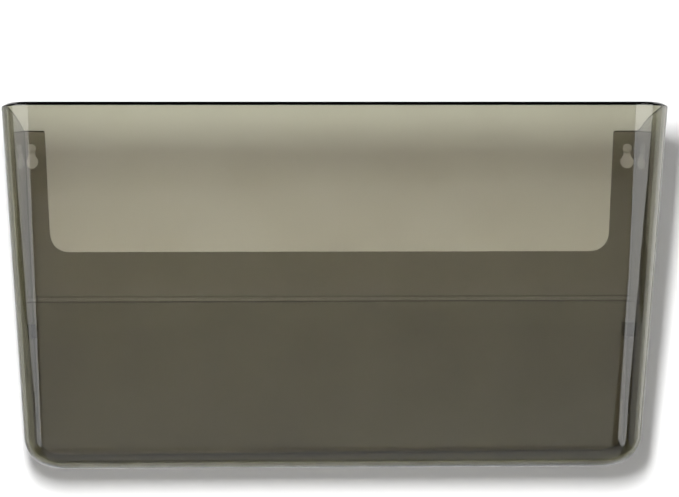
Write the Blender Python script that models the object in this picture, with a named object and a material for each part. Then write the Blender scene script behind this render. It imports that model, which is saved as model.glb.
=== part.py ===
"""A hanging document pocket: one smoke-tinted moulding that hangs by two keyholes on screws in wall plugs.

The origin is on the face of the wall, midway between the axes of the two screws. +X runs to the viewer's
right, +Y into the wall and +Z up. All lengths are in metres.
"""
import math

import bmesh
import bpy
from mathutils import Vector

# The pocket's outside, with heights measured up from its underside and the ears' drop down from the front rim
RIM_WIDTH = 0.3303
BASE_WIDTH = 0.3128
RIM_DEPTH = 0.1030
BASE_DEPTH = 0.0580
HEIGHT = 0.1843
EAR_DROP = 0.0100
WALL = 0.0022
FLOOR = 0.0025
RIM_SLOPE = 0.0013
RIM_EDGE_RADIUS = 0.0003

# Its rounded edges, as outside radii unless the name says inner
SIDE_FOOT_RADIUS = 0.0165
FRONT_FOOT_RADIUS = 0.0100
BACK_FOOT_RADIUS = 0.0018
INNER_BACK_FOOT_RADIUS = 0.0026
RIM_CORNER_RADIUS = 0.0140
BASE_CORNER_RADIUS = 0.0090
BACK_EDGE_RADIUS = 0.0008
INNER_BACK_EDGE_RADIUS = 0.0018

# The back plate: a cut-out, as deep as stated below the ears' tops, and a relieved back above a fine groove
CUTOUT_DEPTH = 0.0638
CUTOUT_CORNER_RADIUS = 0.0100
EAR_WIDTH = 0.0122
EAR_CORNER_RADIUS = 0.0015
STEP_HEIGHT = 0.0870
BACK_RELIEF = 0.0003
GROOVE_TALL = 0.0030
GROOVE_DEPTH = 0.0006

# Keyholes: a circle, dropped from an ear's top, passes the screw's head, and a slot rises from it
KEYHOLE_INSET = 0.0044
KEYHOLE_DROP = 0.0164
KEYHOLE_DIAMETER = 0.0073
SLOT_WIDTH = 0.0040
SLOT_RISE = 0.0087
NECK_RADIUS = 0.0030

# Small lugs in the corners between the side walls and the back plate
LUG_HEIGHT = 0.0657
LUG_TALL = 0.0074
LUG_PROUD = 0.0033
LUG_REACH = 0.0197
LUG_EDGE_RADIUS = 0.0005

# Pan-head screws
HEAD_DIAMETER = 0.0050
HEAD_TALL = 0.0017
HEAD_SIDE_TALL = 0.0008
SHANK_DIAMETER = 0.0030
CORE_DIAMETER = 0.0021
PLAIN_SHANK = 0.0060
SCREW_LENGTH = 0.0300
THREAD_PITCH = 0.00135
POINT_LENGTH = 0.0030
RECESS_SPAN = 0.0028
RECESS_WIDTH = 0.0008
RECESS_DEPTH = 0.0010
RECESS_TAPER = 0.0002

# Wall plugs
PLUG_DIAMETER = 0.0060
PLUG_LENGTH = 0.0250
COLLAR_DIAMETER = 0.0074
COLLAR_THICK = 0.0008
PLUG_RECESS = 0.0003
RIB_DEPTH = 0.0005
RIB_START = 0.0030
RIB_END_MARGIN = 0.0030
PLUG_TIP_CHAMFER = 0.0008
SPLIT_START = 0.0060
SPLIT_WIDTH = 0.0009

# Clearance between pieces that touch, and how far a cutter runs past what it cuts
GAP = 0.0003
OVERRUN = 0.0050

# Counts of facets and of repeated features
CORNER_STEPS = 6
FOOT_STEPS = 8
RIM_STEPS = 2
ARC_STEPS = 8
CIRCLE_STEPS = 28
TURNED_STEPS = 16
HEAD_STEPS = 4
ROWS_PER_THREAD = 4
RIB_COUNT = 7

# Sizes that follow from those above
LEAN = math.atan((RIM_DEPTH - BASE_DEPTH) / HEIGHT)
EAR_HEIGHT = HEIGHT - EAR_DROP
CUTOUT_HEIGHT = EAR_HEIGHT - CUTOUT_DEPTH
KEYHOLE_HEIGHT = EAR_HEIGHT - KEYHOLE_DROP
SLOT_TOP_HEIGHT = KEYHOLE_HEIGHT + SLOT_RISE
SCREW_HEIGHT = SLOT_TOP_HEIGHT - GAP - SHANK_DIAMETER / 2
HEAD_SEAT = WALL + GAP


def mix(start, end, share):
    """The value that lies the given share of the way from start to end."""
    return start + (end - start) * share


def half_width(z, offset):
    """Half the pocket's width at height z, on a skin that lies offset inside the outer one."""
    return mix(BASE_WIDTH, RIM_WIDTH, z / HEIGHT) / 2 - offset


def front_place(z, offset):
    """The y of the leaning front wall at height z, on a skin that lies offset inside the outer one."""
    return offset / math.cos(LEAN) - mix(BASE_DEPTH, RIM_DEPTH, z / HEIGHT)


def rim_place(y):
    """The height of the tilted rim plane at depth y."""
    return mix(EAR_HEIGHT, HEIGHT, -y / RIM_DEPTH)


def foot_inset(rise, radius):
    """How far a wall that curves into the floor stands in, at a rise above the floor's face."""
    if rise >= radius:
        return 0.0
    return radius - math.sqrt(radius**2 - (radius - rise) ** 2)


def ring(z, offset):
    """The rounded outline of one skin at height z, counter-clockwise from above."""
    share = offset / WALL
    rise = max(0.0, z - mix(0.0, FLOOR, share))
    side = half_width(z, offset) - foot_inset(rise, SIDE_FOOT_RADIUS - offset)
    front = front_place(z, offset) + foot_inset(rise, FRONT_FOOT_RADIUS - offset)
    back = -offset - foot_inset(rise, mix(BACK_FOOT_RADIUS, INNER_BACK_FOOT_RADIUS, share))
    front_radius = mix(BASE_CORNER_RADIUS, RIM_CORNER_RADIUS, z / HEIGHT) - offset
    back_radius = mix(BACK_EDGE_RADIUS, INNER_BACK_EDGE_RADIUS, share)
    corners = [
        (side - front_radius, front + front_radius, front_radius, -math.pi / 2),
        (side - back_radius, back - back_radius, back_radius, 0.0),
        (back_radius - side, back - back_radius, back_radius, math.pi / 2),
        (front_radius - side, front + front_radius, front_radius, math.pi),
    ]
    points = []
    for x, y, radius, start in corners:
        for step in range(CORNER_STEPS + 1):
            angle = start + math.pi / 2 * step / CORNER_STEPS
            points.append((x + radius * math.cos(angle), y + radius * math.sin(angle), z))
    return points


def rim_ring(offset, rise):
    """The outline of one skin where it lies a rise above the tilted rim plane."""
    points = ring(HEIGHT, offset)
    for place in range(len(points)):
        for _ in range(CORNER_STEPS):
            height = rim_place(points[place][1]) + rise
            points[place] = ring(height, offset)[place]
    return points


def rim_section():
    """The rim's section as pairs of offset and rise, from the outer skin over its outward slope to the inner skin."""
    corners = [
        (0.0, -HEIGHT, 0.0),
        (0.0, -RIM_SLOPE, RIM_EDGE_RADIUS),
        (WALL, 0.0, RIM_EDGE_RADIUS),
        (WALL, -HEIGHT, 0.0),
    ]
    return filleted(corners, RIM_STEPS)[1:-1]


def shell_rings():
    """All outlines of the shell, from the underside up the outer skin, over the rim and down to the floor."""
    foot_angles = [math.pi / 2 * step / FOOT_STEPS for step in range(FOOT_STEPS + 1)]
    outer = [ring(SIDE_FOOT_RADIUS * (1 - math.cos(angle)), 0.0) for angle in foot_angles]
    rim = [rim_ring(offset, rise) for offset, rise in rim_section()]
    inner_radius = SIDE_FOOT_RADIUS - WALL
    inner = [ring(FLOOR + inner_radius * (1 - math.cos(angle)), WALL) for angle in reversed(foot_angles)]
    return outer + rim + inner


def new_object(name, build, material=None):
    """A mesh object of the geometry that build makes in a bmesh."""
    mesh = bpy.data.meshes.new(name)
    work = bmesh.new()
    build(work)
    bmesh.ops.recalc_face_normals(work, faces=work.faces)
    work.to_mesh(mesh)
    work.free()
    if material:
        mesh.materials.append(material)
    piece = bpy.data.objects.new(name, mesh)
    bpy.context.scene.collection.objects.link(piece)
    return piece


def skin_over(work, outlines):
    """A closed body through outlines of equally many points, with a flat face at each end."""
    rows = [[work.verts.new(point) for point in outline] for outline in outlines]
    for lower, upper in zip(rows, rows[1:]):
        for place in range(len(lower)):
            after = (place + 1) % len(lower)
            work.faces.new((lower[place], lower[after], upper[after], upper[place]))
    work.faces.new(reversed(rows[0]))
    work.faces.new(rows[-1])


def prism(work, outline, near, far):
    """A closed body of an x-z outline that runs from y = near to y = far."""
    skin_over(work, [[(x, near, z) for x, z in outline], [(x, far, z) for x, z in outline]])


def filleted(corners, steps):
    """The points of an outline whose corners are given as x, z and radius."""
    points = []
    for place, (x, z, radius) in enumerate(corners):
        corner = Vector((x, z))
        before = (Vector(corners[place - 1][:2]) - corner).normalized()
        after = (Vector(corners[(place + 1) % len(corners)][:2]) - corner).normalized()
        if not radius:
            points.append((x, z))
            continue
        half_angle = before.angle(after) / 2
        start = corner + before * radius / math.tan(half_angle)
        end = corner + after * radius / math.tan(half_angle)
        centre = corner + (before + after).normalized() * radius / math.sin(half_angle)
        turn = (start - centre).angle_signed(end - centre)
        for step in range(steps + 1):
            arm = start - centre
            angle = -turn * step / steps
            points.append((
                centre.x + arm.x * math.cos(angle) - arm.y * math.sin(angle),
                centre.y + arm.x * math.sin(angle) + arm.y * math.cos(angle),
            ))
    return points


def ear_edge(z):
    """The x of an ear's free edge at height z, which runs parallel to the side wall."""
    return half_width(z, WALL) - EAR_WIDTH


def keyhole_place():
    """The x of the keyholes' centre line."""
    return half_width(KEYHOLE_HEIGHT, WALL) - KEYHOLE_INSET


def cutout_outline():
    """The outline of the back plate's cut-out, which rounds over the tops of the ears."""
    over = EAR_HEIGHT + GAP
    top = EAR_HEIGHT + OVERRUN
    flare = ear_edge(over) + EAR_CORNER_RADIUS + GAP
    right = [
        (ear_edge(CUTOUT_HEIGHT), CUTOUT_HEIGHT, CUTOUT_CORNER_RADIUS),
        (ear_edge(over), over, EAR_CORNER_RADIUS),
        (flare, over, 0.0),
        (flare, top, 0.0),
    ]
    return filleted(right + [(-x, z, radius) for x, z, radius in reversed(right)], ARC_STEPS)


def keyhole_outline(centre_x):
    """A slot with a round top that flares through a rounded neck into a circle below it."""
    slot_radius = SLOT_WIDTH / 2
    circle_radius = KEYHOLE_DIAMETER / 2
    slot_centre = SLOT_TOP_HEIGHT - slot_radius
    neck_x = slot_radius + NECK_RADIUS
    mouth = math.asin(neck_x / (circle_radius + NECK_RADIUS))
    neck_z = KEYHOLE_HEIGHT + (circle_radius + NECK_RADIUS) * math.cos(mouth)
    arcs = [
        (0.0, slot_centre, slot_radius, 0.0, math.pi, ARC_STEPS),
        (-neck_x, neck_z, NECK_RADIUS, 0.0, mouth - math.pi / 2, ARC_STEPS),
        (0.0, KEYHOLE_HEIGHT, circle_radius, math.pi / 2 + mouth, math.pi * 5 / 2 - mouth, CIRCLE_STEPS),
        (neck_x, neck_z, NECK_RADIUS, math.pi * 3 / 2 - mouth, math.pi, ARC_STEPS),
    ]
    points = []
    for x, z, radius, start, end, steps in arcs:
        for step in range(steps + 1):
            angle = mix(start, end, step / steps)
            points.append((centre_x + x + radius * math.cos(angle), z + radius * math.sin(angle)))
    return points


def relief_form(work):
    """What is cut from the back: a shallow groove with slanting sides, and above it all that stands off the wall."""
    side = half_width(HEIGHT, 0.0) + OVERRUN
    foot = STEP_HEIGHT - GROOVE_TALL
    top = HEIGHT + OVERRUN
    profile = [
        (OVERRUN, foot - OVERRUN),
        (-GROOVE_DEPTH, foot + GROOVE_DEPTH),
        (-GROOVE_DEPTH, STEP_HEIGHT - GROOVE_DEPTH + BACK_RELIEF),
        (-BACK_RELIEF, STEP_HEIGHT),
        (-BACK_RELIEF, top),
        (OVERRUN, top),
    ]
    skin_over(work, [[(x, y, z) for y, z in profile] for x in (-side, side)])


def lug_outline(side):
    """The x-z outline of one lug, whose outer end is sunk into the side wall."""
    inner = half_width(LUG_HEIGHT, WALL)
    top = LUG_HEIGHT + LUG_TALL
    near = side * (inner - LUG_PROUD)
    far = side * (inner + WALL / 2)
    radius = LUG_EDGE_RADIUS
    corners = [(near, LUG_HEIGHT, radius), (far, LUG_HEIGHT, 0.0), (far, top, 0.0), (near, top, radius)]
    return filleted(corners, ARC_STEPS)


def apply_cutter(piece, cutter, operation):
    """A Boolean on piece with a hidden cutter, which follows the piece."""
    cutter.display_type = "WIRE"
    cutter.hide_render = True
    cutter.parent = piece
    boolean = piece.modifiers.new(cutter.name, "BOOLEAN")
    boolean.operation = operation
    boolean.solver = "EXACT"
    boolean.object = cutter


def make_shell(material):
    """The one-piece pocket, with its underside at z = 0 until it is placed."""
    shell = new_object("pocket_shell", lambda work: skin_over(work, shell_rings()), material)
    for name, side in (("left", -1), ("right", 1)):
        lug = new_object(
            name + "_lug_form",
            lambda work: prism(work, lug_outline(side), -WALL / 2, -WALL - LUG_REACH),
        )
        apply_cutter(shell, lug, "UNION")
    cuts = {
        "back_cutout": (cutout_outline(), OVERRUN),
        "left_keyhole": (keyhole_outline(-keyhole_place()), OVERRUN),
        "right_keyhole": (keyhole_outline(keyhole_place()), OVERRUN),
    }
    for name, (outline, far) in cuts.items():
        cutter = new_object(name + "_cutter", lambda work: prism(work, outline, -WALL - OVERRUN, far))
        apply_cutter(shell, cutter, "DIFFERENCE")
    relief = new_object("back_relief_cutter", relief_form)
    apply_cutter(shell, relief, "DIFFERENCE")
    return shell


def circle_row(z, radius_at):
    """One ring of points about the local z axis, whose radius may change with the angle."""
    row = []
    for step in range(TURNED_STEPS):
        angle = 2 * math.pi * step / TURNED_STEPS
        radius = radius_at(angle)
        row.append((radius * math.cos(angle), radius * math.sin(angle), z))
    return row


def thread_radius(z, angle, share):
    """The radius of a screw thread at height z and angle, where share fades its ridge in."""
    phase = (z / THREAD_PITCH - angle / (2 * math.pi)) % 1.0
    ridge = 1.0 - abs(2.0 * phase - 1.0)
    return mix(CORE_DIAMETER, SHANK_DIAMETER, ridge * share) / 2


def screw_rows():
    """All rings of a screw from its point to the top of its head, along local +z out of the wall."""
    tip = HEAD_SEAT - SCREW_LENGTH
    thread_foot = tip + POINT_LENGTH
    thread_top = HEAD_SEAT - PLAIN_SHANK
    row_count = round((thread_top - thread_foot) / THREAD_PITCH * ROWS_PER_THREAD)
    rows = [circle_row(tip, lambda angle: CORE_DIAMETER / 8)]
    for row in range(row_count + 1):
        z = mix(thread_foot, thread_top, row / row_count)
        share = min(1.0, row / ROWS_PER_THREAD, (row_count - row) / ROWS_PER_THREAD)
        rows.append(circle_row(z, lambda angle: thread_radius(z, angle, share)))
    for z in (thread_top + (SHANK_DIAMETER - CORE_DIAMETER) / 2, HEAD_SEAT):
        rows.append(circle_row(z, lambda angle: SHANK_DIAMETER / 2))
    dome_tall = HEAD_TALL - HEAD_SIDE_TALL
    rows.append(circle_row(HEAD_SEAT, lambda angle: HEAD_DIAMETER / 2))
    for step in range(HEAD_STEPS):
        angle_up = math.pi / 2 * step / HEAD_STEPS
        z = HEAD_SEAT + HEAD_SIDE_TALL + dome_tall * math.sin(angle_up)
        radius = HEAD_DIAMETER / 2 * math.cos(angle_up)
        rows.append(circle_row(z, lambda angle: radius))
    return rows


def recess_outline(shrink):
    """A cross of two equal arms, smaller by shrink all round."""
    span = RECESS_SPAN / 2 - shrink
    width = RECESS_WIDTH / 2 - shrink
    quarter = [(span, -width), (span, width), (width, width)]
    points = []
    for turn in range(4):
        for x, y in quarter:
            for _ in range(turn):
                x, y = -y, x
            points.append((x, y))
    return points


def recess_rows():
    """The cross recess of a screw head, which narrows towards its bottom."""
    top = HEAD_SEAT + HEAD_TALL
    narrow = [(x, y, top - RECESS_DEPTH) for x, y in recess_outline(RECESS_TAPER)]
    wide = [(x, y, top + OVERRUN) for x, y in recess_outline(0.0)]
    return [narrow, wide]


def plug_profile():
    """The outline of a wall plug's wall as radius and z, from the collar down the ribs and up the bore."""
    outer = PLUG_DIAMETER / 2
    bore = SHANK_DIAMETER / 2 + GAP
    ribs_foot = -PLUG_LENGTH + RIB_END_MARGIN
    pitch = (-RIB_START - ribs_foot) / RIB_COUNT
    profile = [(bore, 0.0), (COLLAR_DIAMETER / 2, 0.0), (COLLAR_DIAMETER / 2, -COLLAR_THICK)]
    profile.append((outer, -COLLAR_THICK))
    for rib in range(RIB_COUNT):
        z = -RIB_START - pitch * rib
        profile.append((outer, z))
        profile.append((outer - RIB_DEPTH, z - pitch * RIB_DEPTH / (outer - bore)))
    profile.append((outer, ribs_foot))
    profile.append((outer, PLUG_TIP_CHAMFER - PLUG_LENGTH))
    profile.append((outer - PLUG_TIP_CHAMFER, -PLUG_LENGTH))
    profile.append((bore, -PLUG_LENGTH))
    return profile


def turn_profile(work, profile):
    """A ring-shaped body from a closed profile of radius and z, turned about the local z axis."""
    rows = [[work.verts.new(point) for point in circle_row(z, lambda angle: radius)] for radius, z in profile]
    for place, row in enumerate(rows):
        after = rows[(place + 1) % len(rows)]
        for step in range(TURNED_STEPS):
            beside = (step + 1) % TURNED_STEPS
            work.faces.new((row[step], row[beside], after[beside], after[step]))


def split_box(work):
    """The cutter of the slit that lets a plug's legs spread."""
    side = COLLAR_DIAMETER
    top = -SPLIT_START
    foot = -PLUG_LENGTH - OVERRUN
    outline = [(-side, -SPLIT_WIDTH / 2), (side, -SPLIT_WIDTH / 2), (side, SPLIT_WIDTH / 2), (-side, SPLIT_WIDTH / 2)]
    skin_over(work, [[(x, y, foot) for x, y in outline], [(x, y, top) for x, y in outline]])


def make_screw(name, material):
    """A pan-head screw, with its head at local +z."""
    screw = new_object(name, lambda work: skin_over(work, screw_rows()), material)
    recess = new_object(name + "_recess", lambda work: skin_over(work, recess_rows()))
    apply_cutter(screw, recess, "DIFFERENCE")
    return screw


def make_plug(name, material):
    """A split wall plug, with its collar's face at local z = 0, which is set a little below the wall's face."""
    plug = new_object(name, lambda work: turn_profile(work, plug_profile()), material)
    split = new_object(name + "_split", split_box)
    apply_cutter(plug, split, "DIFFERENCE")
    return plug


def make_material(name, colour, roughness, metallic, transmission=0.0):
    """A Principled material of one colour."""
    material = bpy.data.materials.new(name)
    material.use_nodes = True
    shader = material.node_tree.nodes["Principled BSDF"]
    shader.inputs["Base Color"].default_value = (*colour, 1.0)
    shader.inputs["Roughness"].default_value = roughness
    shader.inputs["Metallic"].default_value = metallic
    shader.inputs["Transmission Weight"].default_value = transmission
    material.diffuse_color = (*colour, 1.0)
    return material


def make_empty(name):
    """The parent of the pieces that move together."""
    empty = bpy.data.objects.new(name, None)
    bpy.context.scene.collection.objects.link(empty)
    return empty


def shade(piece):
    """Smooth shading on the round stretches, with the real edges kept sharp."""
    piece.data.shade_smooth()
    piece.data.set_sharp_from_angle(angle=math.radians(35))


def main():
    for existing in list(bpy.data.objects):
        bpy.data.objects.remove(existing)
    smoke = make_material("smoke_plastic", (0.20, 0.18, 0.14), 0.08, 0.0, 0.9)
    lacquer = make_material("white_lacquer", (0.80, 0.79, 0.77), 0.40, 0.0)
    nylon = make_material("plug_nylon", (0.55, 0.56, 0.58), 0.50, 0.0)
    fixings = make_empty("wall_fixings")
    pocket = make_empty("pocket")
    shell = make_shell(smoke)
    shell.parent = pocket
    shell.location.z = -SCREW_HEIGHT
    shade(shell)
    for name, side in (("left", -1), ("right", 1)):
        screw = make_screw(name + "_screw", lacquer)
        plug = make_plug(name + "_wall_plug", nylon)
        plug.location.y = PLUG_RECESS
        for piece in (screw, plug):
            piece.parent = fixings
            piece.location.x = side * keyhole_place()
            piece.rotation_euler.x = math.pi / 2
            shade(piece)


main()
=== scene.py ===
"""The looks of a hanging document pocket: a smoke-tinted moulding on two screws, in a plain studio.

Lengths are in metres, in the row's frame: the wall's face is y = 0, +Y goes into the wall and +Z is up.
"""
import math

import bmesh
import bpy
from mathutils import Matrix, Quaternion, Vector


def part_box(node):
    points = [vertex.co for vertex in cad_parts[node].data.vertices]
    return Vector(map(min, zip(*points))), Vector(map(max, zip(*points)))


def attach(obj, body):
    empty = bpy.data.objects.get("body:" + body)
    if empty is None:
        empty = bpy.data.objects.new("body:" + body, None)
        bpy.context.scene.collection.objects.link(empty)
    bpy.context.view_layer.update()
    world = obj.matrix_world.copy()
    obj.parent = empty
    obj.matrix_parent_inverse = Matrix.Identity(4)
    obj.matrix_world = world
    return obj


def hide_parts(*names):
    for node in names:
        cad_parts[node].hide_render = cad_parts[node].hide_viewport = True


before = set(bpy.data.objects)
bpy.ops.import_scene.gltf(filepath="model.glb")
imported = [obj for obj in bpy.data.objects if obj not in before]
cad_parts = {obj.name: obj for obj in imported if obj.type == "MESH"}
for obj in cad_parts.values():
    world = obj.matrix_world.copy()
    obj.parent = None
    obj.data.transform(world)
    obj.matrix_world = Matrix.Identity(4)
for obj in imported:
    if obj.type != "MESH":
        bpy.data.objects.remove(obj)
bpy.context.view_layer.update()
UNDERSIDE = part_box("pocket_shell")[0].z

# The pocket's outside, with heights measured up from its underside
RIM_WIDTH = 0.3303
BASE_WIDTH = 0.3128
RIM_DEPTH = 0.1030
BASE_DEPTH = 0.0580
HEIGHT = 0.1843
EAR_DROP = 0.0100
WALL = 0.0022
FLOOR = 0.0025
RIM_SLOPE = 0.0013
RIM_EDGE_RADIUS = 0.0003

# Its rounded edges, as outside radii unless the name says inner
SIDE_FOOT_RADIUS = 0.0165
FRONT_FOOT_RADIUS = 0.0100
BACK_FOOT_RADIUS = 0.0018
INNER_BACK_FOOT_RADIUS = 0.0026
RIM_CORNER_RADIUS = 0.0140
BASE_CORNER_RADIUS = 0.0090
BACK_EDGE_RADIUS = 0.0008
INNER_BACK_EDGE_RADIUS = 0.0018
CUT_EDGE_RADIUS = 0.00025

# The back plate's cut-out, ears, relieved back with the groove below it, keyholes and corner lugs
CUTOUT_DEPTH = 0.0638
CUTOUT_CORNER_RADIUS = 0.0100
EAR_WIDTH = 0.0122
EAR_CORNER_RADIUS = 0.0015
STEP_HEIGHT = 0.0870
BACK_RELIEF = 0.0003
GROOVE_TALL = 0.0030
GROOVE_DEPTH = 0.0006
KEYHOLE_INSET = 0.0044
KEYHOLE_DROP = 0.0164
KEYHOLE_DIAMETER = 0.0073
SLOT_WIDTH = 0.0040
SLOT_RISE = 0.0087
NECK_RADIUS = 0.0030
LUG_HEIGHT = 0.0657
LUG_TALL = 0.0074
LUG_PROUD = 0.0033
LUG_REACH = 0.0197
LUG_EDGE_RADIUS = 0.0005
SMALL_GAP = 0.0003
OVERRUN = 0.0050

# Counts of facets, and of the rounds that find where a skin meets the tilted rim plane
CORNER_STEPS = 20
FOOT_STEPS = 20
RIM_STEPS = 4
ARC_STEPS = 16
CIRCLE_STEPS = 48
BEVEL_STEPS = 2
SOLVE_STEPS = 6

# Angles above which an edge is bevelled, and above which it is shaded sharp
BEVEL_DEGREES = 50
SHARP_DEGREES = 60

# The plastic's gloss: a faint waviness, and dust and rub marks that dull it
IOR = 1.59
WAVE_SCALE = 22.0
WAVE_DETAIL = 1.0
WAVE_HEIGHT = 0.000006
WAVE_RANGE = (0.35, 0.65)
WAVE_TINTS = ((0.965, 0.96, 0.95), (1.0, 1.0, 1.0))
DUST_SCALE = 900.0
DUST_DETAIL = 3.0
DUST_RANGE = (0.35, 0.75)
DUST_ROUGHNESS = (0.0, 0.02)

# The plastic's smoke: each surface's tint for shadow rays, and the colour and density of its inside
SHADOW_TINT = (0.85, 0.812, 1.0)
SMOKE_COLOUR = (0.296, 0.285, 0.086)
SMOKE_DENSITY = 590.0

# The plastic's painted shade: a black band along the rim, standing in for the dark line that light makes
# through the rounded rim, with its heights at the front and at the ears' tops; and darkened slanting sides of
# the groove, standing in for the dark lines that light makes at its edges, with their edges up and down from
# the groove's middle and how dark they are
RIM_SHADE_FRONT = 0.0017
RIM_SHADE_BACK = 0.0005
GROOVE_SHADE_INNER = 0.0009
GROOVE_SHADE_OUTER = 0.0018
GROOVE_SHADE_STRENGTH = 0.45

# The screws' lacquer and the plugs' nylon
MOTTLE_RANGE = (0.3, 0.7)
LACQUER_SCALE = 600.0
LACQUER_DETAIL = 4.0
LACQUER_COLOURS = ((0.80, 0.79, 0.76), (0.86, 0.86, 0.84))
LACQUER_ROUGHNESS = (0.35, 0.50)
NYLON_SCALE = 400.0
NYLON_DETAIL = 3.0
NYLON_COLOURS = ((0.50, 0.51, 0.53), (0.60, 0.61, 0.63))
NYLON_ROUGHNESS = (0.45, 0.65)

# The camera: its lens, its place measured from the pocket's underside, and its turns to the right and up
PHOTO_WIDTH = 679
SENSOR_WIDTH = 36.0
FOCAL_PIXELS = 2639
CAMERA_PLACE = (-0.0456, -1.3947, 0.1102)
CAMERA_TURN_DEGREES = 2.07
CAMERA_PITCH_DEGREES = 0.07
CAMERA_ROLL_DEGREES = -0.12

# The studio: its wall and floor, a key light above the sight line, a fill light at the camera, and the
# surround, which is pale only on rays that haven't met a dull surface
WALL_COLOUR = (0.92, 0.92, 0.92)
FLOOR_COLOUR = (0.80, 0.79, 0.77)
WALL_OFFSET = 0.00015
WALL_REACH = 2.5
WALL_TOP = 0.12
FLOOR_PLACE = -1.5
FLOOR_REACH = 2.6
KEY_PLACE = (-0.099, -1.030, 0.280)
KEY_WIDTH = 0.095
KEY_TALL = 0.19
KEY_POWER = 11.2
FILL_SIZE = 0.03
FILL_POWER = 4.3
SURROUND_SEEN = 0.86
SURROUND_FELT = 0.08
SURROUND_MIRRORED = 0.10
FIRST_DULL_BOUNCE = 0.5

# Flat lights that only the gloss sees: name, radiance at the foot and at the top, the axis that they stand
# square to, their place on it, and their corners along the other two axes
CARDS = (
    ("left_card", (2.8, 2.8), "y", -1.4, (
        (-4.0, -1.285), (-1.78, -1.116), (-1.19, -1.05), (-1.17, -1.25), (-0.85, -1.26), (-0.40, -1.02),
        (-0.2688, -0.985), (-0.2688, -0.46), (-4.0, -0.46),
    )),
    ("middle_card", (0.85, 0.33), "y", -1.4, (
        (-0.2665, -0.981), (0.3603, -0.981), (0.3628, -0.765), (0.3600, -0.651), (-0.2650, -0.667),
        (-0.2650, -0.76),
    )),
    ("right_card", (3.2, 3.2), "y", -1.4, (
        (0.3664, -0.970), (0.372, -0.985), (0.40, -1.001), (0.43, -1.009), (0.47, -1.009), (0.484, -0.99),
        (0.485, -0.928), (0.94, -0.863), (1.62, -0.755), (1.62, -0.46), (0.357, -0.46), (0.3645, -0.735),
    )),
    ("foot_card", (0.9, 0.5), "y", -1.41, ((-0.90, -1.49), (0.90, -1.49), (0.36, -0.99), (-0.27, -0.99))),
    ("toe_card", (1.05, 0.9), "y", -0.20, ((-0.36, -1.49), (0.42, -1.49), (0.18, -0.29), (-0.18, -0.29))),
    ("right_flag", (1.6, 1.6), "x", 1.3, ((-0.45, -0.75), (-0.01, -0.75), (-0.01, 0.30), (-0.45, 0.30))),
    ("right_low_flag", (0.9, 0.7), "x", 1.31, ((-1.9, -1.48), (-0.02, -1.0), (-0.02, -0.40), (-1.9, -1.09))),
    ("left_low_flag", (0.9, 0.7), "x", -1.31, (
        (-1.9, -1.48), (-0.02, -1.0), (-0.02, -0.38), (-0.70, -0.66), (-1.9, -1.44),
    )),
    ("right_wall_flag", (3.0, 2.4), "y", -0.004, ((0.26, -0.30), (0.95, -0.30), (0.95, 0.02), (0.26, 0.02))),
    ("left_wall_flag", (2.4, 1.0), "y", -0.004, ((-0.95, -0.30), (-0.26, -0.30), (-0.26, 0.0), (-0.95, 0.0))),
)

LEAN = math.atan((RIM_DEPTH - BASE_DEPTH) / HEIGHT)
EAR_HEIGHT = HEIGHT - EAR_DROP
CUTOUT_HEIGHT = EAR_HEIGHT - CUTOUT_DEPTH
KEYHOLE_HEIGHT = EAR_HEIGHT - KEYHOLE_DROP
SLOT_TOP_HEIGHT = KEYHOLE_HEIGHT + SLOT_RISE


def mix(start, end, share):
    """The value that lies the given share of the way from start to end."""
    return start + (end - start) * share


def half_width(z, offset):
    """Half the pocket's width at height z, on a skin that lies offset inside the outer one."""
    return mix(BASE_WIDTH, RIM_WIDTH, z / HEIGHT) / 2 - offset


def front_place(z, offset):
    """The y of the leaning front wall at height z, on a skin that lies offset inside the outer one."""
    return offset / math.cos(LEAN) - mix(BASE_DEPTH, RIM_DEPTH, z / HEIGHT)


def rim_place(y):
    """The height of the tilted rim plane at depth y."""
    return mix(EAR_HEIGHT, HEIGHT, -y / RIM_DEPTH)


def foot_inset(rise, radius):
    """How far a wall that curves into the floor stands in, at a rise above the floor's face."""
    if rise >= radius:
        return 0.0
    return radius - math.sqrt(radius**2 - (radius - rise) ** 2)


def ring(z, offset):
    """The rounded outline of one skin at height z, counter-clockwise from above."""
    share = offset / WALL
    rise = max(0.0, z - mix(0.0, FLOOR, share))
    side = half_width(z, offset) - foot_inset(rise, SIDE_FOOT_RADIUS - offset)
    front = front_place(z, offset) + foot_inset(rise, FRONT_FOOT_RADIUS - offset)
    back = -offset - foot_inset(rise, mix(BACK_FOOT_RADIUS, INNER_BACK_FOOT_RADIUS, share))
    front_radius = mix(BASE_CORNER_RADIUS, RIM_CORNER_RADIUS, z / HEIGHT) - offset
    back_radius = mix(BACK_EDGE_RADIUS, INNER_BACK_EDGE_RADIUS, share)
    corners = [
        (side - front_radius, front + front_radius, front_radius, -math.pi / 2),
        (side - back_radius, back - back_radius, back_radius, 0.0),
        (back_radius - side, back - back_radius, back_radius, math.pi / 2),
        (front_radius - side, front + front_radius, front_radius, math.pi),
    ]
    points = []
    for x, y, radius, start in corners:
        for step in range(CORNER_STEPS + 1):
            angle = start + math.pi / 2 * step / CORNER_STEPS
            points.append((x + radius * math.cos(angle), y + radius * math.sin(angle), z))
    return points


def rim_ring(offset, rise):
    """The outline of one skin where it lies a rise above the tilted rim plane."""
    points = ring(HEIGHT, offset)
    for place in range(len(points)):
        for _ in range(SOLVE_STEPS):
            height = rim_place(points[place][1]) + rise
            points[place] = ring(height, offset)[place]
    return points


def rim_section():
    """The rim's section as pairs of offset and rise, from the outer skin over its slope to the inner skin."""
    corners = [
        (0.0, -HEIGHT, 0.0),
        (0.0, -RIM_SLOPE, RIM_EDGE_RADIUS),
        (WALL, 0.0, RIM_EDGE_RADIUS),
        (WALL, -HEIGHT, 0.0),
    ]
    return filleted(corners, RIM_STEPS)[1:-1]


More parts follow.
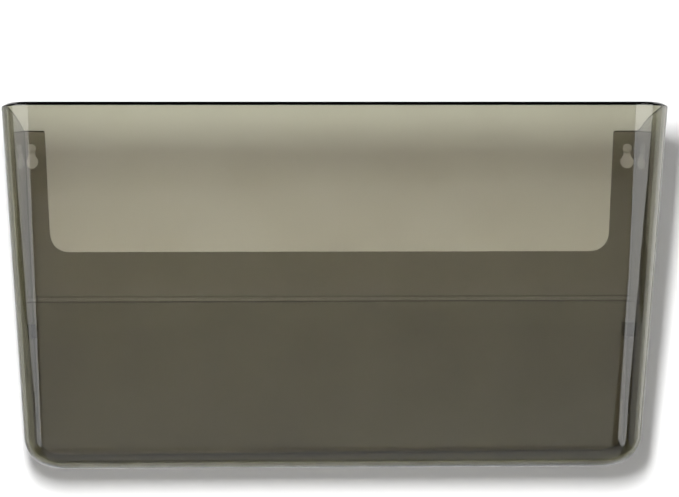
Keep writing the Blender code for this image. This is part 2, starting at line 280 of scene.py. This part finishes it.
def shell_rings():
    """All outlines of the shell, from the underside up the outer skin, over the rim and down to the floor."""
    foot_angles = [math.pi / 2 * step / FOOT_STEPS for step in range(FOOT_STEPS + 1)]
    outer = [ring(SIDE_FOOT_RADIUS * (1 - math.cos(angle)), 0.0) for angle in foot_angles]
    rim = [rim_ring(offset, rise) for offset, rise in rim_section()]
    inner_radius = SIDE_FOOT_RADIUS - WALL
    inner = [ring(FLOOR + inner_radius * (1 - math.cos(angle)), WALL) for angle in reversed(foot_angles)]
    return outer + rim + inner


def new_object(name, build):
    """A mesh object of the geometry that build makes in a bmesh."""
    mesh = bpy.data.meshes.new(name)
    work = bmesh.new()
    build(work)
    bmesh.ops.recalc_face_normals(work, faces=work.faces)
    work.to_mesh(mesh)
    work.free()
    piece = bpy.data.objects.new(name, mesh)
    bpy.context.scene.collection.objects.link(piece)
    return piece


def skin_over(work, outlines):
    """A closed body through outlines of equally many points, with a flat face at each end."""
    rows = [[work.verts.new(point) for point in outline] for outline in outlines]
    for lower, upper in zip(rows, rows[1:]):
        for place in range(len(lower)):
            after = (place + 1) % len(lower)
            work.faces.new((lower[place], lower[after], upper[after], upper[place]))
    work.faces.new(reversed(rows[0]))
    work.faces.new(rows[-1])


def prism(work, outline, near, far):
    """A closed body of an x-z outline that runs from y = near to y = far."""
    skin_over(work, [[(x, near, z) for x, z in outline], [(x, far, z) for x, z in outline]])


def filleted(corners, steps):
    """The points of an outline whose corners are given as x, z and radius."""
    points = []
    for place, (x, z, radius) in enumerate(corners):
        corner = Vector((x, z))
        before = (Vector(corners[place - 1][:2]) - corner).normalized()
        after = (Vector(corners[(place + 1) % len(corners)][:2]) - corner).normalized()
        if not radius:
            points.append((x, z))
            continue
        half_angle = before.angle(after) / 2
        start = corner + before * radius / math.tan(half_angle)
        end = corner + after * radius / math.tan(half_angle)
        centre = corner + (before + after).normalized() * radius / math.sin(half_angle)
        turn = (start - centre).angle_signed(end - centre)
        for step in range(steps + 1):
            arm = start - centre
            angle = -turn * step / steps
            points.append((
                centre.x + arm.x * math.cos(angle) - arm.y * math.sin(angle),
                centre.y + arm.x * math.sin(angle) + arm.y * math.cos(angle),
            ))
    return points


def ear_edge(z):
    """The x of an ear's free edge at height z, which runs parallel to the side wall."""
    return half_width(z, WALL) - EAR_WIDTH


def keyhole_place():
    """The x of the keyholes' centre line."""
    return half_width(KEYHOLE_HEIGHT, WALL) - KEYHOLE_INSET


def cutout_outline():
    """The outline of the back plate's cut-out, which rounds over the tops of the ears."""
    over = EAR_HEIGHT + SMALL_GAP
    top = EAR_HEIGHT + OVERRUN
    flare = ear_edge(over) + EAR_CORNER_RADIUS + SMALL_GAP
    right = [
        (ear_edge(CUTOUT_HEIGHT), CUTOUT_HEIGHT, CUTOUT_CORNER_RADIUS),
        (ear_edge(over), over, EAR_CORNER_RADIUS),
        (flare, over, 0.0),
        (flare, top, 0.0),
    ]
    return filleted(right + [(-x, z, radius) for x, z, radius in reversed(right)], ARC_STEPS)


def keyhole_outline(centre_x):
    """A slot with a round top that flares through a rounded neck into a circle below it."""
    slot_radius = SLOT_WIDTH / 2
    circle_radius = KEYHOLE_DIAMETER / 2
    slot_centre = SLOT_TOP_HEIGHT - slot_radius
    neck_x = slot_radius + NECK_RADIUS
    mouth = math.asin(neck_x / (circle_radius + NECK_RADIUS))
    neck_z = KEYHOLE_HEIGHT + (circle_radius + NECK_RADIUS) * math.cos(mouth)
    arcs = [
        (0.0, slot_centre, slot_radius, 0.0, math.pi, ARC_STEPS),
        (-neck_x, neck_z, NECK_RADIUS, 0.0, mouth - math.pi / 2, ARC_STEPS),
        (0.0, KEYHOLE_HEIGHT, circle_radius, math.pi / 2 + mouth, math.pi * 5 / 2 - mouth, CIRCLE_STEPS),
        (neck_x, neck_z, NECK_RADIUS, math.pi * 3 / 2 - mouth, math.pi, ARC_STEPS),
    ]
    points = []
    for x, z, radius, start, end, steps in arcs:
        for step in range(steps + 1):
            angle = mix(start, end, step / steps)
            points.append((centre_x + x + radius * math.cos(angle), z + radius * math.sin(angle)))
    return points


def relief_form(work):
    """What is cut from the back: a shallow groove with slanting sides, and a thin layer above it."""
    side = half_width(HEIGHT, 0.0) + OVERRUN
    foot = STEP_HEIGHT - GROOVE_TALL
    top = HEIGHT + OVERRUN
    profile = [
        (OVERRUN, foot - OVERRUN),
        (-GROOVE_DEPTH, foot + GROOVE_DEPTH),
        (-GROOVE_DEPTH, STEP_HEIGHT - GROOVE_DEPTH + BACK_RELIEF),
        (-BACK_RELIEF, STEP_HEIGHT),
        (-BACK_RELIEF, top),
        (OVERRUN, top),
    ]
    skin_over(work, [[(x, y, z) for y, z in profile] for x in (-side, side)])


def lug_outline(side):
    """The x-z outline of one lug, whose outer end is sunk into the side wall."""
    inner = half_width(LUG_HEIGHT, WALL)
    top = LUG_HEIGHT + LUG_TALL
    near = side * (inner - LUG_PROUD)
    far = side * (inner + WALL / 2)
    radius = LUG_EDGE_RADIUS
    corners = [(near, LUG_HEIGHT, radius), (far, LUG_HEIGHT, 0.0), (far, top, 0.0), (near, top, radius)]
    return filleted(corners, ARC_STEPS)


def combine(piece, form, operation):
    """A Boolean on piece with form, left unapplied."""
    boolean = piece.modifiers.new(form.name, "BOOLEAN")
    boolean.operation = operation
    boolean.solver = "EXACT"
    boolean.object = form


def apply_modifiers(piece, forms=()):
    """Writes the modifiers' result into the mesh and removes the forms that they used."""
    evaluated = piece.evaluated_get(bpy.context.evaluated_depsgraph_get())
    mesh = bpy.data.meshes.new_from_object(evaluated)
    piece.modifiers.clear()
    piece.data = mesh
    for form in forms:
        bpy.data.objects.remove(form)


def make_shell():
    """The pocket's moulding as a fine mesh, in the place of its CAD node."""
    shell = new_object("smoke_shell", lambda work: skin_over(work, shell_rings()))
    lugs = [lug_outline(-1), lug_outline(1)]
    cuts = [cutout_outline(), keyhole_outline(-keyhole_place()), keyhole_outline(keyhole_place())]
    forms = []
    for outline in lugs:
        forms.append(new_object("lug_form", lambda work: prism(work, outline, -WALL / 2, -WALL - LUG_REACH)))
        combine(shell, forms[-1], "UNION")
    for outline in cuts:
        forms.append(new_object("cut_form", lambda work: prism(work, outline, -WALL - OVERRUN, OVERRUN)))
        combine(shell, forms[-1], "DIFFERENCE")
    apply_modifiers(shell, forms)
    bevel = shell.modifiers.new("cut_edges", "BEVEL")
    bevel.width = CUT_EDGE_RADIUS
    bevel.segments = BEVEL_STEPS
    bevel.limit_method = "ANGLE"
    bevel.angle_limit = math.radians(BEVEL_DEGREES)
    relief = new_object("relief_form", relief_form)
    combine(shell, relief, "DIFFERENCE")
    apply_modifiers(shell, [relief])
    shell.modifiers.new("facets", "TRIANGULATE")
    shell.data.shade_smooth()
    shell.data.set_sharp_from_angle(angle=math.radians(SHARP_DEGREES))
    weighted = shell.modifiers.new("flat_walls", "WEIGHTED_NORMAL")
    weighted.keep_sharp = True
    apply_modifiers(shell)
    shell.location.z = UNDERSIDE
    return shell


def new_material(name):
    """A material with an empty node tree but for its output, as (material, nodes, links, output)."""
    material = bpy.data.materials.new(name)
    material.use_nodes = True
    tree = material.node_tree
    tree.nodes.clear()
    output = tree.nodes.new("ShaderNodeOutputMaterial")
    return material, tree.nodes, tree.links, output


def math_node(nodes, links, operation, first, second):
    """A math node's output for two inputs, each of which is a socket or a number."""
    node = nodes.new("ShaderNodeMath")
    node.operation = operation
    for socket, value in zip(node.inputs, (first, second)):
        if isinstance(value, float):
            socket.default_value = value
        else:
            links.new(value, socket)
    return node.outputs["Value"]


def spot_node(nodes, links):
    """The three coordinates of a spot on the object, as a node's outputs."""
    place = nodes.new("ShaderNodeTexCoord")
    spot = nodes.new("ShaderNodeSeparateXYZ")
    links.new(place.outputs["Object"], spot.inputs["Vector"])
    return spot


def noise(nodes, links, scale, detail):
    """A noise texture's factor, fixed to the object."""
    place = nodes.new("ShaderNodeTexCoord")
    texture = nodes.new("ShaderNodeTexNoise")
    texture.inputs["Scale"].default_value = scale
    texture.inputs["Detail"].default_value = detail
    links.new(place.outputs["Object"], texture.inputs["Vector"])
    return texture.outputs["Fac"]


def graded(nodes, links, value, source, target):
    """A value that is moved from the source range, as (start, end), to the target range."""
    grade = nodes.new("ShaderNodeMapRange")
    for socket, number in zip(("From Min", "From Max", "To Min", "To Max"), (*source, *target)):
        grade.inputs[socket].default_value = number
    links.new(value, grade.inputs["Value"])
    return grade.outputs["Result"]


def ramp(nodes, links, factor, places, colours):
    """A colour that runs from the first to the second one between two places of a factor."""
    node = nodes.new("ShaderNodeValToRGB")
    for element, place, colour in zip(node.color_ramp.elements, places, colours):
        element.position = place
        element.color = (*colour, 1.0)
    links.new(factor, node.inputs["Fac"])
    return node.outputs["Color"]


def blend(nodes, links, share, first, second):
    """A mix of two shaders by the share of the second."""
    surface = nodes.new("ShaderNodeMixShader")
    links.new(share, surface.inputs["Fac"])
    links.new(first, surface.inputs[1])
    links.new(second, surface.inputs[2])
    return surface.outputs["Shader"]


def rim_shade_mask(nodes, links):
    """1 on the band of painted shade along the rim, which narrows from the front towards the ears' tops, and
    0 elsewhere.
    """
    spot = spot_node(nodes, links)
    back = EAR_HEIGHT - RIM_SHADE_BACK
    front = HEIGHT - RIM_SHADE_FRONT
    slope = math_node(nodes, links, "MULTIPLY", spot.outputs["Y"], (back - front) / RIM_DEPTH)
    band_foot = math_node(nodes, links, "ADD", slope, back)
    return math_node(nodes, links, "GREATER_THAN", spot.outputs["Z"], band_foot)


def groove_shade_mask(nodes, links):
    """1 on the slanting sides of the groove in the back face, where dark lines of painted shade go, and 0
    elsewhere.
    """
    spot = spot_node(nodes, links)
    rise = math_node(nodes, links, "SUBTRACT", spot.outputs["Z"], STEP_HEIGHT - GROOVE_TALL / 2)
    distance = math_node(nodes, links, "ABSOLUTE", rise, 0.0)
    outside = math_node(nodes, links, "GREATER_THAN", distance, GROOVE_SHADE_INNER)
    inside = math_node(nodes, links, "LESS_THAN", distance, GROOVE_SHADE_OUTER)
    behind = math_node(nodes, links, "GREATER_THAN", spot.outputs["Y"], -WALL / 2)
    side = math_node(nodes, links, "MULTIPLY", outside, inside)
    return math_node(nodes, links, "MULTIPLY", side, behind)


def smoke_plastic():
    """See-through moulded plastic: a volume tint, a faint waviness, fine dust and rub marks, and painted
    shade along the rim and on the groove's sides.
    """
    material, nodes, links, output = new_material("smoke_plastic")
    shader = nodes.new("ShaderNodeBsdfPrincipled")
    shader.inputs["IOR"].default_value = IOR
    shader.inputs["Transmission Weight"].default_value = 1.0
    wave = noise(nodes, links, WAVE_SCALE, WAVE_DETAIL)
    bump = nodes.new("ShaderNodeBump")
    bump.inputs["Strength"].default_value = 1.0
    bump.inputs["Distance"].default_value = WAVE_HEIGHT
    links.new(wave, bump.inputs["Height"])
    links.new(bump.outputs["Normal"], shader.inputs["Normal"])
    dust = noise(nodes, links, DUST_SCALE, DUST_DETAIL)
    links.new(graded(nodes, links, dust, DUST_RANGE, DUST_ROUGHNESS), shader.inputs["Roughness"])
    # Painted shade on the rim's band: a black base colour, and its specular tint turned off so that no
    # highlight shows there
    band = rim_shade_mask(nodes, links)
    links.new(math_node(nodes, links, "SUBTRACT", 1.0, band), shader.inputs["Specular Tint"])
    # Painted shade on the groove's sides: the base colour is darkened there
    lines = math_node(nodes, links, "MULTIPLY", groove_shade_mask(nodes, links), GROOVE_SHADE_STRENGTH)
    tint = nodes.new("ShaderNodeMix")
    tint.data_type = "RGBA"
    tint.inputs["B"].default_value = (0.0, 0.0, 0.0, 1.0)
    links.new(math_node(nodes, links, "MAXIMUM", band, lines), tint.inputs["Factor"])
    links.new(ramp(nodes, links, wave, WAVE_RANGE, WAVE_TINTS), tint.inputs["A"])
    links.new(tint.outputs["Result"], shader.inputs["Base Color"])
    path = nodes.new("ShaderNodeLightPath")
    clear = nodes.new("ShaderNodeBsdfTransparent")
    clear.inputs["Color"].default_value = (*SHADOW_TINT, 1.0)
    shadow_ray = path.outputs["Is Shadow Ray"]
    surface = blend(nodes, links, shadow_ray, shader.outputs["BSDF"], clear.outputs["BSDF"])
    links.new(surface, output.inputs["Surface"])
    inside = nodes.new("ShaderNodeVolumeAbsorption")
    inside.inputs["Color"].default_value = (*SMOKE_COLOUR, 1.0)
    inside.inputs["Density"].default_value = SMOKE_DENSITY
    links.new(inside.outputs["Volume"], output.inputs["Volume"])
    return material


def mottled(name, scale, detail, colours, roughness):
    """An opaque material whose colour and roughness vary together."""
    material, nodes, links, output = new_material(name)
    shader = nodes.new("ShaderNodeBsdfPrincipled")
    cloud = noise(nodes, links, scale, detail)
    links.new(ramp(nodes, links, cloud, MOTTLE_RANGE, colours), shader.inputs["Base Color"])
    links.new(graded(nodes, links, cloud, (0.0, 1.0), roughness), shader.inputs["Roughness"])
    links.new(shader.outputs["BSDF"], output.inputs["Surface"])
    return material


def white_lacquer():
    """White lacquer with a faint orange-peel gloss and slightly yellowed patches."""
    return mottled("white_lacquer", LACQUER_SCALE, LACQUER_DETAIL, LACQUER_COLOURS, LACQUER_ROUGHNESS)


def plug_nylon():
    """Dull grey nylon with a faint mottle."""
    return mottled("plug_nylon", NYLON_SCALE, NYLON_DETAIL, NYLON_COLOURS, NYLON_ROUGHNESS)


def dress(piece, material):
    """Puts material on every slot of a piece."""
    if not piece.material_slots:
        piece.data.materials.append(material)
    for slot in piece.material_slots:
        slot.material = material


def plane(name, corners, material):
    """A flat staged face through its corners."""
    mesh = bpy.data.meshes.new(name)
    mesh.from_pydata(corners, [], [range(len(corners))])
    face = bpy.data.objects.new(name, mesh)
    bpy.context.scene.collection.objects.link(face)
    mesh.materials.append(material)
    return face


def wall_paint():
    """White wall paint, which light and sight pass from behind so that the pocket's back can be seen."""
    material, nodes, links, output = new_material("studio_wall")
    shader = nodes.new("ShaderNodeBsdfDiffuse")
    shader.inputs["Color"].default_value = (*WALL_COLOUR, 1.0)
    clear = nodes.new("ShaderNodeBsdfTransparent")
    side = nodes.new("ShaderNodeNewGeometry")
    from_behind = side.outputs["Backfacing"]
    surface = blend(nodes, links, from_behind, shader.outputs["BSDF"], clear.outputs["BSDF"])
    links.new(surface, output.inputs["Surface"])
    return material


def floor_paint():
    """A plain pale floor."""
    material, nodes, links, output = new_material("studio_floor")
    shader = nodes.new("ShaderNodeBsdfDiffuse")
    shader.inputs["Color"].default_value = (*FLOOR_COLOUR, 1.0)
    links.new(shader.outputs["BSDF"], output.inputs["Surface"])
    return material


def make_stage():
    """A white wall behind the pocket and a pale floor well below it."""
    side, near, low, top = WALL_REACH, -FLOOR_REACH, FLOOR_PLACE, WALL_TOP
    y = WALL_OFFSET
    plane("studio_wall", [(-side, y, low), (side, y, low), (side, y, top), (-side, y, top)], wall_paint())
    floor = [(-side, near, low), (side, near, low), (side, y, low), (-side, y, low)]
    plane("studio_floor", floor, floor_paint())


def aim(thing, target):
    """Turns a light so that it faces the target."""
    thing.rotation_mode = "QUATERNION"
    thing.rotation_quaternion = (target - thing.location).to_track_quat("-Z", "Y")


def area_light(name, location, target, width, height, power):
    """A rectangular soft light."""
    data = bpy.data.lights.new(name, "AREA")
    data.shape = "RECTANGLE"
    data.size = width
    data.size_y = height
    data.energy = power
    light = bpy.data.objects.new(name, data)
    light.location = location
    aim(light, target)
    light.visible_camera = False
    light.visible_transmission = False
    bpy.context.scene.collection.objects.link(light)
    return light


def direction(azimuth_degrees, elevation_degrees):
    """The unit vector to an azimuth, 0 towards the viewer and 90 to the viewer's right, and an elevation."""
    azimuth = math.radians(azimuth_degrees)
    elevation = math.radians(elevation_degrees)
    flat = math.cos(elevation)
    return Vector((math.sin(azimuth) * flat, -math.cos(azimuth) * flat, math.sin(elevation)))


def card(name, radiance, axis, place, outline):
    """A flat light that only the gloss sees, as listed in CARDS."""
    corners = [(across, place, z) if axis == "y" else (place, across, z) for across, z in outline]
    material, nodes, links, output = new_material(name)
    heights = [z for _, z in outline]
    spot = spot_node(nodes, links)
    glow = nodes.new("ShaderNodeEmission")
    strength = graded(nodes, links, spot.outputs["Z"], (min(heights), max(heights)), radiance)
    links.new(strength, glow.inputs["Strength"])
    links.new(glow.outputs["Emission"], output.inputs["Surface"])
    piece = plane(name, corners, material)
    piece.visible_camera = False
    piece.visible_diffuse = False
    piece.visible_transmission = False
    piece.visible_volume_scatter = False
    piece.visible_shadow = False


def make_lights():
    """A key light above the sight line and a weaker one at the camera, with the cards that the gloss sees."""
    middle = Vector((0.0, 0.0, UNDERSIDE + HEIGHT / 2))
    key_place = Vector(KEY_PLACE) + Vector((0.0, 0.0, UNDERSIDE))
    area_light("key_light", key_place, middle, KEY_WIDTH, KEY_TALL, KEY_POWER)
    fill_place = Vector(CAMERA_PLACE) + Vector((0.0, 0.0, UNDERSIDE))
    fill = area_light("fill_light", fill_place, middle, FILL_SIZE, FILL_SIZE, FILL_POWER)
    fill.visible_glossy = False
    for row in CARDS:
        card(*row)


def surround(nodes, brightness):
    """An even white surround of the given brightness."""
    background = nodes.new("ShaderNodeBackground")
    background.inputs["Color"].default_value = (1.0, 1.0, 1.0, 1.0)
    background.inputs["Strength"].default_value = brightness
    return background.outputs["Background"]


def make_world():
    """A surround that is pale to look at, straight or through the plastic, and dim to all else."""
    world = bpy.data.worlds.new("studio")
    bpy.context.scene.world = world
    world.use_nodes = True
    nodes, links = world.node_tree.nodes, world.node_tree.links
    nodes.clear()
    output = nodes.new("ShaderNodeOutputWorld")
    path = nodes.new("ShaderNodeLightPath")
    felt, mirrored = surround(nodes, SURROUND_FELT), surround(nodes, SURROUND_MIRRORED)
    dim = blend(nodes, links, path.outputs["Is Glossy Ray"], felt, mirrored)
    straight = math_node(nodes, links, "LESS_THAN", path.outputs["Diffuse Depth"], FIRST_DULL_BOUNCE)
    through = math_node(nodes, links, "MULTIPLY", path.outputs["Is Transmission Ray"], straight)
    either = math_node(nodes, links, "MAXIMUM", path.outputs["Is Camera Ray"], through)
    background = blend(nodes, links, either, dim, surround(nodes, SURROUND_SEEN))
    links.new(background, output.inputs["Surface"])


def make_camera():
    """The photograph's view: a long lens, left of the pocket's middle, that looks slightly to the right."""
    data = bpy.data.cameras.new("photo_camera")
    data.sensor_width = SENSOR_WIDTH
    data.lens = SENSOR_WIDTH * FOCAL_PIXELS / PHOTO_WIDTH
    data.dof.use_dof = False
    camera = bpy.data.objects.new("photo_camera", data)
    camera.location = Vector(CAMERA_PLACE) + Vector((0.0, 0.0, UNDERSIDE))
    sight = direction(180.0 - CAMERA_TURN_DEGREES, CAMERA_PITCH_DEGREES)
    camera.rotation_mode = "QUATERNION"
    roll = Quaternion((0.0, 0.0, 1.0), math.radians(CAMERA_ROLL_DEGREES))
    camera.rotation_quaternion = sight.to_track_quat("-Z", "Y") @ roll
    bpy.context.scene.collection.objects.link(camera)
    bpy.context.scene.camera = camera


def main():
    """Sets up the studio, puts the dressed shell in its node's place and dresses the screws and plugs."""
    bpy.context.scene.view_settings.view_transform = "Standard"
    make_camera()
    make_world()
    make_lights()
    make_stage()
    shell = make_shell()
    dress(shell, smoke_plastic())
    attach(shell, "pocket")
    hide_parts("pocket_shell")
    lacquer, nylon = white_lacquer(), plug_nylon()
    for side in ("left", "right"):
        dress(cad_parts[side + "_screw"], lacquer)
        dress(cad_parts[side + "_wall_plug"], nylon)


main()
bpy.context.view_layer.update()
